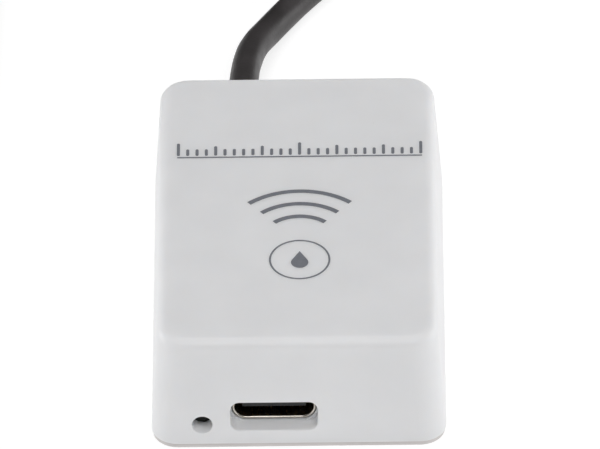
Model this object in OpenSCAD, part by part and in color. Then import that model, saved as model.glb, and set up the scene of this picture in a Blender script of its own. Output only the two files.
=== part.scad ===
// Wireless humidity sensor: a small drafted case with a USB-C socket and a reset pinhole,
// and a slotted humidity probe on a lead. Millimetres, +Z up, front (socket) towards -Y.
// The origin is on the table under the middle of the case.

/* [Case] */
// Width across the rim of the top shell
case_w = 31.2; // [31:0.2:33]
// Length along the rim of the top shell
case_l = 46.4; // [46.4:0.2:49]
// Height of the printed face above the table
case_h = 13.8; // [13.6:0.2:15.6]
// Edge of the base cover that shows under the shell
base_lip = 0.6; // [0.5:0.1:0.8]
// Draft of the side walls in degrees
draft = 3.8; // [3:0.2:4.4]
// Corner radius in plan, at the rim
corner_r = 2.8; // [2.6:0.1:3.2]
// Radius of the edge round the printed face
edge_r = 1.2; // [0.9:0.1:1.3]
// Wall thickness of the shell
wall = 1.5; // [1.4:0.1:1.6]
// Thickness of the shell's top
roof = 1.6; // [1.4:0.1:2]

/* [Ports] */
// Distance of the USB-C socket's middle from the centre line
usb_x = -2.6; // [-3:0.1:-2]
// Width of the opening in the front wall
port_w = 9.2; // [9:0.1:9.6]
// Height of the opening in the front wall
port_h = 3.6; // [3.5:0.1:4]
// Distance of the reset pinhole from the centre line
reset_x = -10.2; // [-10.4:0.1:-10]
// Diameter of the reset pinhole
pinhole_d = 2.15; // [1.8:0.05:2.2]
// Distance of the lead's outlet from the centre line
lead_x = -6; // [-6.4:0.2:-5.8]
// Height of the lead's outlet
lead_z = 6.6; // [6.4:0.1:6.8]

/* [Board] */
// Width of the main board
board_w = 27.2; // [26.8:0.1:27.2]
// Length of the main board
board_l = 42.4; // [42:0.1:42.4]
// Thickness of the main board
board_t = 1; // [0.8:0.1:1]

/* [Probe] */
// Diameter of the probe
probe_d = 11; // [10.4:0.2:11]
// Length of the probe without its boot
probe_l = 36; // [34:1:38]
// Number of slots round the probe's cap
slot_count = 10; // [8:1:10]

/* [Lead] */
// Diameter of the lead
lead_d = 3.2; // [3:0.1:3.2]
// Gap between the resting reset plunger and its dome
plunger_gap = 0.3; // [0.28:0.01:0.35]

/* [Hidden] */
$fn = 48;

lean = tan(draft);
gap = 0.05;
front_y = -case_l / 2;
back_y = case_l / 2;

// Case: what closes it from below
ledge_z = 1.4;
cover_t = 1.1;
lip_inset = 0.15;
cover_w = case_w - 2 * wall - 0.3;
cover_l = case_l - 2 * wall - 0.3;
screw_x = 11.2;
screw_ys = [-13, 17.5];
screw_len = 8.4;
post_r = 2.2;

// Main board and the socket on it
board_z = ledge_z + 0.02;
top_z = board_z + board_t;
usb_w = 8.94;
usb_h = 3.2;
usb_len = 7.3;
usb_wall = 0.3;
usb_z = top_z + usb_h / 2 + 0.03;
usb_y = front_y + wall + 0.3;
tongue_w = 6.7;
tongue_t = 0.7;

// Reset switch
reset_z = 3.04;
switch_w = 4.6;
switch_l = 3;
switch_h = 1.6;
switch_y = -20.4;
plunger_w = 2;
plunger_h = 0.9;
plunger_out = 0.85;

// Radio module
radio_w = 13.2;
radio_l = 16.6;
radio_x = 6.8;
radio_y = 4.9;
radio_t = 0.8;
can_l = 12.2;

// Wire connector
plug_pitch = 1.5;
header_w = 7.5;
header_l = 5.6;
header_h = 3.7;
header_y = 3;
plug_w = 6.3;
plug_h = 2.5;
plug_z = top_z + 1.95;
plug_back = 10;

// Lead: where it leaves the case, then along the table, round the coil and to the probe
exit_y = 23.1;
jacket_y = 16.5;
wire_r = 0.38;
seat_y = 23.15;
lead_route = [[lead_x, exit_y, lead_z], [-6, 27, 6.6], [-5.9, 31, 6.2], [-5.5, 36, 4.9],
  [-4.7, 40.6, 3.4], [-3.4, 44.2, 2.3], [-1.7, 47.7, 1.7], [0.2, 50.7, 1.6],
  [3.2, 54.7, 1.6], [6.7, 59.4, 1.6], [10.2, 64.1, 1.6]];
coil_at = [-7, 77.5];
coil_r = 17;
coil_turns_wide = 4;
coil_turns_high = 2;
tail_route = [[-7, 99.3, 4.8], [-12, 99.3, 4.7], [-17, 99.4, 3.9], [-22, 99.3, 2.7],
  [-27, 98.9, 1.9], [-31.5, 97.3, 1.7], [-35.4, 94.4, 2.2], [-38, 90.5, 3.7],
  [-39.2, 86, 5.3], [-39.2, 82.2, 5.5]];
probe_x = -39.2;
probe_z = probe_d / 2;
boot_y = 82;
boot_l = 12;
body_y = boot_y - boot_l;
tip_y = body_y - probe_l;
cap_y = body_y - probe_l / 2;
skin = 0.9;

// ---- shared shapes ----

// Outline of a drafted block in its XZ plane, from the axis out to the wall
module half_outline(reach, low, high, round_r) {
  mid_z = high - round_r;
  mid_x = reach - (mid_z - low) * lean - round_r / cos(draft);
  polygon(concat([[0, low], [reach, low]],
    [for (i = [0:6]) let (a = draft + i * (90 - draft) / 6)
      [mid_x + round_r * cos(a), mid_z + round_r * sin(a)]],
    [[0, high]]));
}

module full_outline(reach, low, high, round_r) {
  half_outline(reach, low, high, round_r);
  mirror([1, 0]) half_outline(reach, low, high, round_r);
}

// Block that narrows upwards by the draft, with round upright corners and a round top edge
module drafted_block(w, l, r, low, high, round_r) {
  rotate([90, 0, 0]) linear_extrude(l - 2 * r, center = true) full_outline(w / 2, low, high, round_r);
  rotate([90, 0, 90]) linear_extrude(w - 2 * r, center = true) full_outline(l / 2, low, high, round_r);
  for (sx = [-1, 1], sy = [-1, 1])
    translate([sx * (w / 2 - r), sy * (l / 2 - r), 0])
      rotate_extrude() half_outline(r, low, high, round_r);
}

// Flat plate with round corners
module plate(w, l, r, low, high) {
  translate([0, 0, low]) linear_extrude(high - low) {
    square([w - 2 * r, l], center = true);
    square([w, l - 2 * r], center = true);
    for (sx = [-1, 1], sy = [-1, 1])
      translate([sx * (w / 2 - r), sy * (l / 2 - r)]) circle(r);
  }
}

// Slot shape with round ends, extruded along Y from y by depth
module slot(w, h, y, depth) {
  r = min(w, h) / 2 - 0.01;
  translate([0, y + depth, 0]) rotate([90, 0, 0]) linear_extrude(depth) {
    square([w - 2 * r, h], center = true);
    square([w, h - 2 * r], center = true);
    for (sx = [-1, 1], sy = [-1, 1])
      translate([sx * (w / 2 - r), sy * (h / 2 - r)]) circle(r);
  }
}

// Cylinder along Y from y by depth
module rod(r, y, depth, r_end = -1) {
  translate([0, y, 0]) rotate([-90, 0, 0]) cylinder(depth, r, r_end < 0 ? r : r_end);
}

function sub(a, b) = [a.x - b.x, a.y - b.y, a.z - b.z];
function unit(v) = v / norm(v);
function along(route, i) =
  unit(sub(route[min(i + 1, len(route) - 1)], route[max(i - 1, 0)]));
function ring(route, i, r, sides) =
  let (t = along(route, i), u = unit(cross(t, [0, 0, 1])), v = cross(u, t))
  [for (k = [0:sides - 1]) route[i] + r * (cos(k * 360 / sides) * u + sin(k * 360 / sides) * v)];

// One closed tube swept along a route
module tube(route, r, sides) {
  n = len(route);
  points = [for (i = [0:n - 1]) each ring(route, i, r, sides)];
  walls = [for (i = [0:n - 2], k = [0:sides - 1]) let (m = (k + 1) % sides)
    [i * sides + k, i * sides + m, (i + 1) * sides + m, (i + 1) * sides + k]];
  first = [for (k = [sides - 1:-1:0]) k];
  last = [for (k = [0:sides - 1]) (n - 1) * sides + k];
  polyhedron(points, concat([first, last], walls));
}

module at_screws() {
  for (sx = [-1, 1], y = screw_ys) translate([sx * screw_x, y, 0]) children();
}

// ---- case ----

module top_shell() {
  cut = base_lip - 1;
  color("whitesmoke") difference() {
    union() {
      difference() {
        drafted_block(case_w, case_l, corner_r, base_lip, case_h, edge_r);
        drafted_block(case_w - 2 * wall + 2 * lean, case_l - 2 * wall + 2 * lean,
          corner_r - wall + lean, cut, case_h - roof, 0.3);
      }
      // posts for the screws
      at_screws() translate([0, 0, top_z + gap]) cylinder(case_h - roof / 2 - top_z, r = post_r);
      // flat seat for the grommet on the sloping back wall
      translate([lead_x, 0, lead_z]) rod(4.5, back_y - wall, seat_y - back_y + wall);
    }
    at_screws() translate([0, 0, base_lip]) cylinder(screw_len + 1 - base_lip, r = 1);
    translate([usb_x, 0, usb_z]) slot(port_w, port_h, front_y - 1, wall + 2);
    translate([reset_x, 0, reset_z]) rod(pinhole_d / 2, front_y - 1, wall + 2);
    translate([lead_x, 0, lead_z]) rod(3.05, back_y - wall - 2, wall + 4);
  }
}

module base_cover() {
  color("gainsboro") difference() {
    union() {
      // rim that shows under the shell
      plate(case_w - 2 * lip_inset, case_l - 2 * lip_inset, corner_r - lip_inset, 0, base_lip - gap);
      plate(cover_w, cover_l, 1.2, 0, cover_t);
      difference() {
        plate(cover_w, cover_l, 1.2, cover_t, ledge_z);
        plate(cover_w - 3, cover_l - 3, 0.6, cover_t - 0.2, ledge_z + 1);
      }
      at_screws() cylinder(ledge_z, r = post_r);
    }
    at_screws() {
      translate([0, 0, -0.01]) cylinder(1.06, r1 = 2.01, r2 = 1.1);
      cylinder(3, r = 1.1);
    }
    // shallow recess for a label
    translate([0, 2, 0]) plate(17, 22, 1, -1, 0.2);
  }
}

module cover_screws() {
  color("silver") at_screws() difference() {
    union() {
      translate([0, 0, 0.1]) cylinder(0.9, r1 = 1.9, r2 = 1);
      translate([0, 0, 0.9]) cylinder(screw_len - 0.9, r = 0.97);
    }
    for (a = [0, 90]) rotate(a) cube([2.2, 0.42, 1.3], center = true);
  }
}

// ---- electronics ----

module main_board() {
  color("black") difference() {
    plate(board_w, board_l, 1, board_z, top_z);
    at_screws() cylinder(4, r = 1.15);
    // slots for the socket's four tabs
    for (sx = [-1, 1], y = [1.6, 5.8])
      translate([usb_x + sx * (usb_w / 2 - 0.15) - 0.35, usb_y + y - 0.8, 0]) cube([0.7, 1.6, 4]);
  }
}

module usb_shell() {
  color("silver") {
    translate([usb_x, 0, usb_z]) difference() {
      slot(usb_w, usb_h, usb_y, usb_len);
      slot(usb_w - 2 * usb_wall, usb_h - 2 * usb_wall, usb_y - 1, usb_len + 2);
    }
    for (sx = [-1, 1], y = [1.6, 5.8])
      translate([usb_x + sx * (usb_w / 2 - 0.15) - 0.15, usb_y + y - 0.55, board_z + 0.1])
        cube([0.3, 1.1, usb_z - board_z - 0.1]);
  }
}

module usb_tongue() {
  block_l = 2.4;
  color("dimgray") translate([usb_x, 0, usb_z]) {
    slot(usb_w - 2 * usb_wall - 2 * gap, usb_h - 2 * usb_wall - 2 * gap,
      usb_y + usb_len - block_l, block_l);
    translate([-tongue_w / 2, usb_y + 0.6, -tongue_t / 2]) cube([tongue_w, usb_len - 2, tongue_t]);
  }
}

module usb_contacts() {
  color("gold") for (side = [-1, 1], i = [0:11])
    translate([usb_x + (i - 5.5) * 0.5 - 0.13, usb_y + 1, usb_z + side * (tongue_t / 2 + 0.05) - 0.05])
      cube([0.26, 3.6, 0.1]);
}

module reset_switch_body() {
  color("dimgray") translate([reset_x, switch_y, top_z + 0.02]) difference() {
    translate([-switch_w / 2, 0, 0]) cube([switch_w, switch_l, switch_h]);
    // channel for the plunger, then a chamber for the dome
    translate([-plunger_w / 2 - gap, -1, reset_z - top_z - 0.02 - plunger_h / 2 - gap])
      cube([plunger_w + 2 * gap, 2.1, plunger_h + 2 * gap]);
    translate([-1.5, 1, 0.1]) cube([3, 1.4, switch_h]);
  }
}

// Slides towards +Y when a pin presses it
module reset_plunger() {
  color("black") translate([reset_x, switch_y - plunger_out, reset_z]) {
    translate([-plunger_w / 2, 0, -plunger_h / 2]) cube([plunger_w, plunger_out + 1.2, plunger_h]);
    translate([-1.2, plunger_out + 1.1, -plunger_h / 2]) cube([2.4, 0.3, plunger_h]);
  }
}

module switch_dome() {
  apex_y = switch_y + 1.4 + plunger_gap;
  color("lightgray") translate([reset_x, apex_y, top_z + 0.98]) intersection() {
    difference() {
      rod(6, 0, 0.5);
      rod(6, 0.45, 1);
    }
    union() {
      translate([-1.4, 0.3, -0.6]) cube([2.8, 0.15, 1.2]);
      translate([-0.9, 0.15, -0.6]) cube([1.8, 0.2, 1.2]);
      translate([-0.4, 0, -0.6]) cube([0.8, 0.2, 1.2]);
    }
  }
}

module switch_cover() {
  cover_z = top_z + 0.02 + switch_h + 0.01;
  color("silver") {
    translate([reset_x - switch_w / 2, switch_y, cover_z]) cube([switch_w, switch_l, 0.12]);
    for (sx = [-1, 1])
      translate([reset_x + sx * (switch_w / 2 + 0.07) - 0.06, switch_y + 0.8, top_z + 0.4])
        cube([0.12, 1.4, cover_z - top_z - 0.28]);
    for (sx = [-1, 1])
      translate([reset_x + sx * (switch_w / 2 - 0.1) - 0.23, switch_y + 0.8, cover_z])
        cube([0.46, 1.4, 0.12]);
  }
}

module switch_terminals() {
  color("silver") for (sx = [-1, 1])
    translate([reset_x + sx * (switch_w / 2 + 0.38) - 0.36, switch_y + 2.3, top_z + 0.01])
      cube([0.72, 0.6, 0.2]);
}

module radio_board() {
  color("black") translate([radio_x, radio_y, 0])
    plate(radio_w, radio_l, 0.3, top_z + 0.01, top_z + radio_t);
}

module radio_can() {
  can_low = top_z + radio_t + 0.01;
  color("silver") translate([radio_x, radio_y - radio_l / 2 + can_l / 2 + 0.4, 0]) difference() {
    plate(radio_w - 0.8, can_l, 0.5, can_low, can_low + 1.7);
    plate(radio_w - 1.1, can_l - 0.3, 0.35, can_low - 1, can_low + 1.55);
  }
}

// Folded strip on the free end of the radio board
module radio_antenna() {
  low = top_z + radio_t + 0.01;
  left = radio_x - radio_w / 2 + 0.8;
  fold_y = radio_y + radio_l / 2 - 3.4;
  color("goldenrod") for (i = [0:5]) {
    translate([left + i * 2.1, fold_y, low]) cube([0.4, 2.9, 0.08]);
    if (i < 5) translate([left + i * 2.1, fold_y + (i % 2 == 0 ? 2.5 : 0), low]) cube([2.5, 0.4, 0.08]);
  }
}

regulator_at = [3.4, -8.4];

module voltage_regulator() {
  color("black") translate([regulator_at.x, regulator_at.y, top_z + 0.25])
    translate([-3.25, -1.75, 0]) cube([6.5, 3.5, 1.6]);
}

module regulator_leads() {
  color("silver") translate([regulator_at.x, regulator_at.y, top_z + 0.02]) {
    for (x = [-2.3, 0, 2.3]) translate([x - 0.35, -3.2, 0]) cube([0.7, 1.8, 0.2]);
    translate([-1.5, 1.4, 0]) cube([3, 1.8, 0.2]);
  }
}

// Middle and turn of each small part on the board
capacitor_at = [[-2.4, -10.6, 0], [9.2, -8.4, 90], [-2.4, -7.4, 0], [12, -6.6, 90], [-11.4, 9.6, 90],
  [0.4, 16.6, 0], [4, 16.6, 0], [-12.2, 4.2, 90]];
resistor_at = [[-7.6, -11.2, 90], [-5.6, -11.2, 90], [-12.2, -7, 0], [-12.2, -5.4, 0], [-8.6, -1.2, 0],
  [-5.4, -1.2, 0], [-2.2, -1.2, 0], [-12.2, 0.4, 90]];

module at_chips(places) {
  for (p = places) translate([p[0], p[1], top_z + 0.03]) rotate(p[2]) children();
}

module chip_capacitors() {
  color("tan") at_chips(capacitor_at) translate([-0.6, -0.4, 0.02]) cube([1.2, 0.8, 0.76]);
}

module capacitor_ends() {
  color("silver") at_chips(capacitor_at)
    for (x = [-0.8, 0.6]) translate([x, -0.41, 0]) cube([0.2, 0.82, 0.8]);
}

module chip_resistors() {
  color("black") at_chips(resistor_at) translate([-0.55, -0.4, 0.02]) cube([1.1, 0.8, 0.4]);
}

module resistor_ends() {
  color("silver") at_chips(resistor_at)
    for (x = [-0.8, 0.55]) translate([x, -0.41, 0]) cube([0.25, 0.82, 0.45]);
}

module status_led() {
  color("lightyellow") translate([-12.2, -2.8, top_z + 0.02]) {
    translate([-0.8, -0.4, 0]) cube([1.6, 0.8, 0.25]);
    translate([-0.5, -0.4, 0.25]) cube([1, 0.8, 0.35]);
  }
}

module wire_header() {
  color("ivory") translate([lead_x, header_y, top_z + 0.02]) difference() {
    translate([-header_w / 2, 0, 0]) cube([header_w, header_l, header_h]);
    translate([-plug_w / 2 - 0.1, 1.5, plug_z - top_z - 0.02 - plug_h / 2 - 0.1])
      cube([plug_w + 0.2, header_l, plug_h + 0.2]);
    // latch window in the top
    translate([-1.6, 2.6, 2]) cube([3.2, 1.6, 3]);
  }
}

module header_pins() {
  color("gold") for (i = [-1.5:1.5]) translate([lead_x + i * plug_pitch - 0.2, 0, 0]) {
    translate([0, header_y - 1.2, top_z + 0.05]) cube([0.4, 1.15, 0.3]);
    translate([0, header_y + 1.52, plug_z - 0.2]) cube([0.4, 1.8, 0.4]);
  }
}

module wire_plug() {
  color("ivory") translate([lead_x, 0, plug_z]) difference() {
    translate([-plug_w / 2, header_y + 1.9, -plug_h / 2])
      cube([plug_w, plug_back - header_y - 1.9, plug_h]);
    for (i = [-1.5:1.5]) {
      translate([i * plug_pitch - 0.3, header_y + 1, -0.3]) cube([0.6, 3, 0.6]);
      translate([i * plug_pitch, 0, 0]) rod(0.5, plug_back - 1.2, 3);
    }
  }
}

// One conductor, from its place in the jacket to its place in the plug
module wire(i, from_x, from_z) {
  a = [lead_x + from_x, jacket_y - 0.02, lead_z + from_z];
  b = [lead_x + (i - 1.5) * plug_pitch, plug_back - 0.9, plug_z];
  steps = 8;
  tube([for (k = [0:steps]) let (t = k / steps, s = t * t * (3 - 2 * t))
    [a.x + (b.x - a.x) * s, a.y + (b.y - a.y) * t, a.z + (b.z - a.z) * s]], wire_r, 8);
}

module wire_red() color("red") wire(0, -0.5, -0.5);
module wire_black() color("black") wire(1, -0.5, 0.5);
module wire_yellow() color("gold") wire(2, 0.5, 0.5);
module wire_white() color("white") wire(3, 0.5, -0.5);

module jacket_end() {
  color("black") translate([lead_x, 0, lead_z]) rod(lead_d / 2, jacket_y, exit_y - jacket_y);
}

module strain_tie() {
  color("white") translate([lead_x, 0, lead_z]) {
    difference() {
      rod(lead_d / 2 + 0.9, 17.2, 2.2);
      rod(lead_d / 2 + 0.02, 17, 3);
    }
    translate([-1.5, 16.9, lead_d / 2 + 0.6]) cube([3, 2.8, 2]);
  }
}

module cable_grommet() {
  color("black") translate([lead_x, 0, lead_z]) difference() {
    union() {
      rod(3.7, 19.8, 1.1);
      rod(3, 20.5, seat_y - 20);
      rod(4.1, seat_y + 0.02, 0.9);
      rod(2.9, seat_y + 0.5, 2.8, 2.4);
    }
    rod(lead_d / 2 + gap, 19, 9);
  }
}

// ---- lead and probe ----

module sensor_lead() color("black") tube(lead_route, lead_d / 2, 8);

// Outer shape of the wound turns
module cable_coil() {
  bundle = coil_turns_wide * lead_d;
  high = coil_turns_high * lead_d;
  inner = coil_r - bundle / 2;
  bevel = 0.9;
  color("black") translate([coil_at.x, coil_at.y, 0]) rotate_extrude($fn = 96)
    polygon([[inner + bevel, 0], [inner + bundle - bevel, 0], [inner + bundle, bevel],
      [inner + bundle, high - bevel], [inner + bundle - bevel, high], [inner + bevel, high],
      [inner, high - bevel], [inner, bevel]]);
}

// Flat tie strip round the bundle, with its twisted end on top
module coil_tie() {
  high = coil_turns_high * lead_d;
  bundle = coil_turns_wide * lead_d;
  strip = 0.3;
  strip_w = 3;
  play = 0.14;
  color("dimgray") translate([coil_at.x + coil_r, coil_at.y - strip_w / 2, 0]) {
    difference() {
      translate([-bundle / 2 - strip - play, 0, 0.05])
        cube([bundle + 2 * strip + 2 * play, strip_w, high + strip + play - 0.05]);
      translate([-bundle / 2 - play, -1, -1]) cube([bundle + 2 * play, strip_w + 2, high + 1 + play]);
    }
    translate([-2.2, 0.4, high + strip]) cube([4.4, strip_w - 0.8, 1.1]);
  }
}

module lead_tail() color("black") tube(tail_route, lead_d / 2, 8);

module probe_boot() {
  color("black") translate([probe_x, boot_y, probe_z]) rotate([90, 0, 0]) difference() {
    rotate_extrude() polygon([[0, 0.1], [2.4, 0.1], [2.7, 1.6], [2.3, 1.9], [2.4, 2.8], [2.9, 3],
      [3.2, 4.6], [2.7, 4.9], [2.8, 5.8], [3.4, 6], [3.7, 7.6], [3.2, 7.9], [3.3, 8.8], [4.2, 9],
      [4.4, boot_l - 0.02], [0, boot_l - 0.02]]);
    translate([0, 0, 5]) cylinder(20, r = 1.1);
  }
}

module probe_body() {
  color("black") translate([probe_x, 0, probe_z]) difference() {
    rod(probe_d / 2, cap_y + 0.02, body_y - cap_y - 0.02);
    rod(probe_d / 2 - skin, cap_y - 1, body_y - cap_y);
    rod(1.6, body_y - 3, 6);
  }
}

module probe_cap() {
  dome_r = probe_d / 2;
  flat_r = dome_r - 1.6;
  slot_l = 10.5;
  color("black") translate([probe_x, 0, probe_z]) difference() {
    union() {
      rod(dome_r, tip_y + 1.6, cap_y - tip_y - 1.6);
      rotate([90, 0, 0]) rotate_extrude() polygon(concat([[0, -tip_y - 2]],
        [for (i = [0:6]) let (a = i * 15) [flat_r + 1.6 * cos(a), -tip_y - 1.6 + 1.6 * sin(a)]],
        [[0, -tip_y]]));
      // spigot that fits inside the body
      rod(dome_r - skin - gap, cap_y - 0.5, 3);
    }
    rod(dome_r - 2 * skin, tip_y + 1.2, probe_l);
    for (i = [0:slot_count - 1]) rotate([0, i * 360 / slot_count, 0])
      translate([-0.65, tip_y + 3.2, 2]) cube([1.3, slot_l, dome_r]);
  }
}

module probe_filter() {
  r = probe_d / 2 - 2 * skin - gap;
  color("white") translate([probe_x, 0, probe_z]) difference() {
    rod(r, tip_y + 1.3, 14);
    rod(r - 0.4, tip_y + 1.8, 15);
  }
}

probe_board_z = probe_z - 0.8;

module probe_board() {
  color("black") translate([probe_x - 2.6, tip_y + 3.5, probe_board_z]) cube([5.2, 26, 0.8]);
}

module sensor_chip() {
  color("dimgray") translate([probe_x, tip_y + 6, probe_board_z + 0.82]) difference() {
    translate([-1.25, -1.25, 0]) cube([2.5, 2.5, 0.9]);
    translate([0, 0, 0.5]) cylinder(1, r = 0.5);
  }
}

module probe_capacitor() {
  color("tan") translate([probe_x - 0.8, tip_y + 10, probe_board_z + 0.82]) cube([1.6, 0.8, 0.7]);
}

top_shell();
base_cover();
cover_screws();
main_board();
usb_shell();
usb_tongue();
usb_contacts();
reset_switch_body();
reset_plunger();
switch_dome();
switch_cover();
switch_terminals();
radio_board();
radio_can();
radio_antenna();
voltage_regulator();
regulator_leads();
chip_capacitors();
capacitor_ends();
chip_resistors();
resistor_ends();
status_led();
wire_header();
header_pins();
wire_plug();
wire_red();
wire_black();
wire_yellow();
wire_white();
jacket_end();
strain_tie();
cable_grommet();
sensor_lead();
cable_coil();
coil_tie();
lead_tail();
probe_boot();
probe_body();
probe_cap();
probe_filter();
probe_board();
sensor_chip();
probe_capacitor();
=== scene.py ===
import math

import bmesh
import bpy
from mathutils import Matrix, Vector


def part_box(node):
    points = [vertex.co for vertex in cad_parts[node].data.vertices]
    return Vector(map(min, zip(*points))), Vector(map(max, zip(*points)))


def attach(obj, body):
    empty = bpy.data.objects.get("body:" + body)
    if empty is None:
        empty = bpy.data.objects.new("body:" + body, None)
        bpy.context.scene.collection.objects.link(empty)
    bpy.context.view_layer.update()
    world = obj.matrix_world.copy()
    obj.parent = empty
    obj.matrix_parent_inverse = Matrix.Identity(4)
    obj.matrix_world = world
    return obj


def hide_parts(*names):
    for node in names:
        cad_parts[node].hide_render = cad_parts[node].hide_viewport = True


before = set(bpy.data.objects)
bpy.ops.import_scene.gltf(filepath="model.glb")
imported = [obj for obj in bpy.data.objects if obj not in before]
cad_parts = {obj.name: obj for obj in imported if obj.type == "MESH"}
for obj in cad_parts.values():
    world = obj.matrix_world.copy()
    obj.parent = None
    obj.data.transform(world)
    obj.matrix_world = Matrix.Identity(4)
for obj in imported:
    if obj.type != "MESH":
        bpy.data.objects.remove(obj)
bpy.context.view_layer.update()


# ---------------------------------------------------------------- camera
# A long lens about a metre off, looking down on the socket end of the case,
# turned and tipped by the degree or so that a hand-set tripod is out of true.
camera_aim = Vector((0.0002, 0.0052, 0.0070))
camera_distance = 1.18
camera_height = math.radians(39.7)
camera_turn = math.radians(0.63)
camera_roll = math.radians(-1.04)
camera_lens = 659.4

forward = Vector((-math.sin(camera_turn) * math.cos(camera_height),
                  math.cos(camera_turn) * math.cos(camera_height),
                  -math.sin(camera_height)))
level = forward.cross(Vector((0, 0, 1))).normalized()
across = Matrix.Rotation(camera_roll, 3, -forward) @ level
camera = bpy.data.objects.new("camera", bpy.data.cameras.new("camera"))
camera.data.lens = camera_lens
camera.data.sensor_width = 36
camera.data.clip_start = 0.05
camera.data.clip_end = 20
camera.matrix_world = Matrix.Translation(camera_aim - camera_distance * forward) @ Matrix(
    (across, across.cross(forward), -forward)).transposed().to_4x4()
bpy.context.scene.collection.objects.link(camera)
bpy.context.scene.camera = camera


# ---------------------------------------------------------------- sensor lead
# Round cable with a matt black PVC jacket, cut from a reel. It leaves the grommet level,
# droops to the table, and the length that isn't in use is wound in two layers and tied.
MM = 0.001
LEAD_WIDTH = 0.0032
# The route in millimetres: from the case to the coil, and from the coil to the probe.
lead_route = [(-6, 23.1, 6.6), (-6, 27, 6.6), (-5.9, 31, 6.2), (-5.5, 36, 4.9),
              (-4.7, 40.6, 3.4), (-3.4, 44.2, 2.3), (-1.7, 47.7, 1.7), (0.2, 50.7, 1.6),
              (3.2, 54.7, 1.6), (6.7, 59.4, 1.6)]
tail_route = [(-12, 99.3, 4.7), (-17, 99.4, 3.9), (-22, 99.3, 2.7), (-27, 98.9, 1.9),
              (-31.5, 97.3, 1.7), (-35.4, 94.4, 2.2), (-38, 90.5, 3.7), (-39.2, 86, 5.3),
              (-39.2, 82.2, 5.5)]
# The coil in millimetres and degrees: four laps inwards on the table, then outwards on them.
coil_middle = (-7, 77.5)
lap_radii = [21.8, 18.6, 15.4, 12.2, 12.2, 15.4, 18.6, 21.8, 21.8]
lap_heights = [1.6] * 4 + [4.8] * 5
first_angle, last_angle, angle_step = -38, 2610, 14.88
sideways_step = (298, 360)
upward_step = (268, 328)


def eased(start, end, value):
    """How far the value has come from start to end, gently at both ends."""
    share = min(max((value - start) / (end - start), 0), 1)
    return share * share * (3 - 2 * share)


def wound_turns():
    """Points round the coil: each lap keeps its radius, then steps over to the next one."""
    points = []
    steps = round((last_angle - first_angle) / angle_step)
    for step in range(steps + 1):
        swept = step * (last_angle - first_angle) / steps
        lap = int(swept // 360)
        sideways = eased(*sideways_step, swept % 360)
        upward = eased(*upward_step, swept % 360)
        radius = lap_radii[lap] + (lap_radii[lap + 1] - lap_radii[lap]) * sideways
        height = lap_heights[lap] + (lap_heights[lap + 1] - lap_heights[lap]) * upward
        angle = math.radians(first_angle + swept)
        points.append((coil_middle[0] + radius * math.cos(angle),
                       coil_middle[1] + radius * math.sin(angle), height))
    return points


def noise(nodes, links, place, size_mm, detail=3):
    """Fractal noise whose lumps are about this size."""
    lumps = nodes.new("ShaderNodeTexNoise")
    lumps.inputs["Scale"].default_value = 1 / (size_mm * MM)
    lumps.inputs["Detail"].default_value = detail
    links.new(place, lumps.inputs["Vector"])
    return lumps.outputs["Fac"]


def spread(nodes, links, value, low, high, start=0.3, end=0.7):
    """The value, stretched from start and end to low and high."""
    spreader = nodes.new("ShaderNodeMapRange")
    spreader.inputs["From Min"].default_value = start
    spreader.inputs["From Max"].default_value = end
    spreader.inputs["To Min"].default_value = low
    spreader.inputs["To Max"].default_value = high
    links.new(value, spreader.inputs["Value"])
    return spreader.outputs["Result"]


def blended(nodes, links, share, first, second):
    """A colour that runs from the first to the second. Each is a colour or a socket."""
    mixer = nodes.new("ShaderNodeMix")
    mixer.data_type = "RGBA"
    links.new(share, mixer.inputs["Factor"])
    for name, colour in (("A", first), ("B", second)):
        socket = next(s for s in mixer.inputs if s.name == name and s.type == "RGBA")
        if isinstance(colour, tuple):
            socket.default_value = (*colour, 1)
        else:
            links.new(colour, socket)
    return next(s for s in mixer.outputs if s.type == "RGBA")


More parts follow.
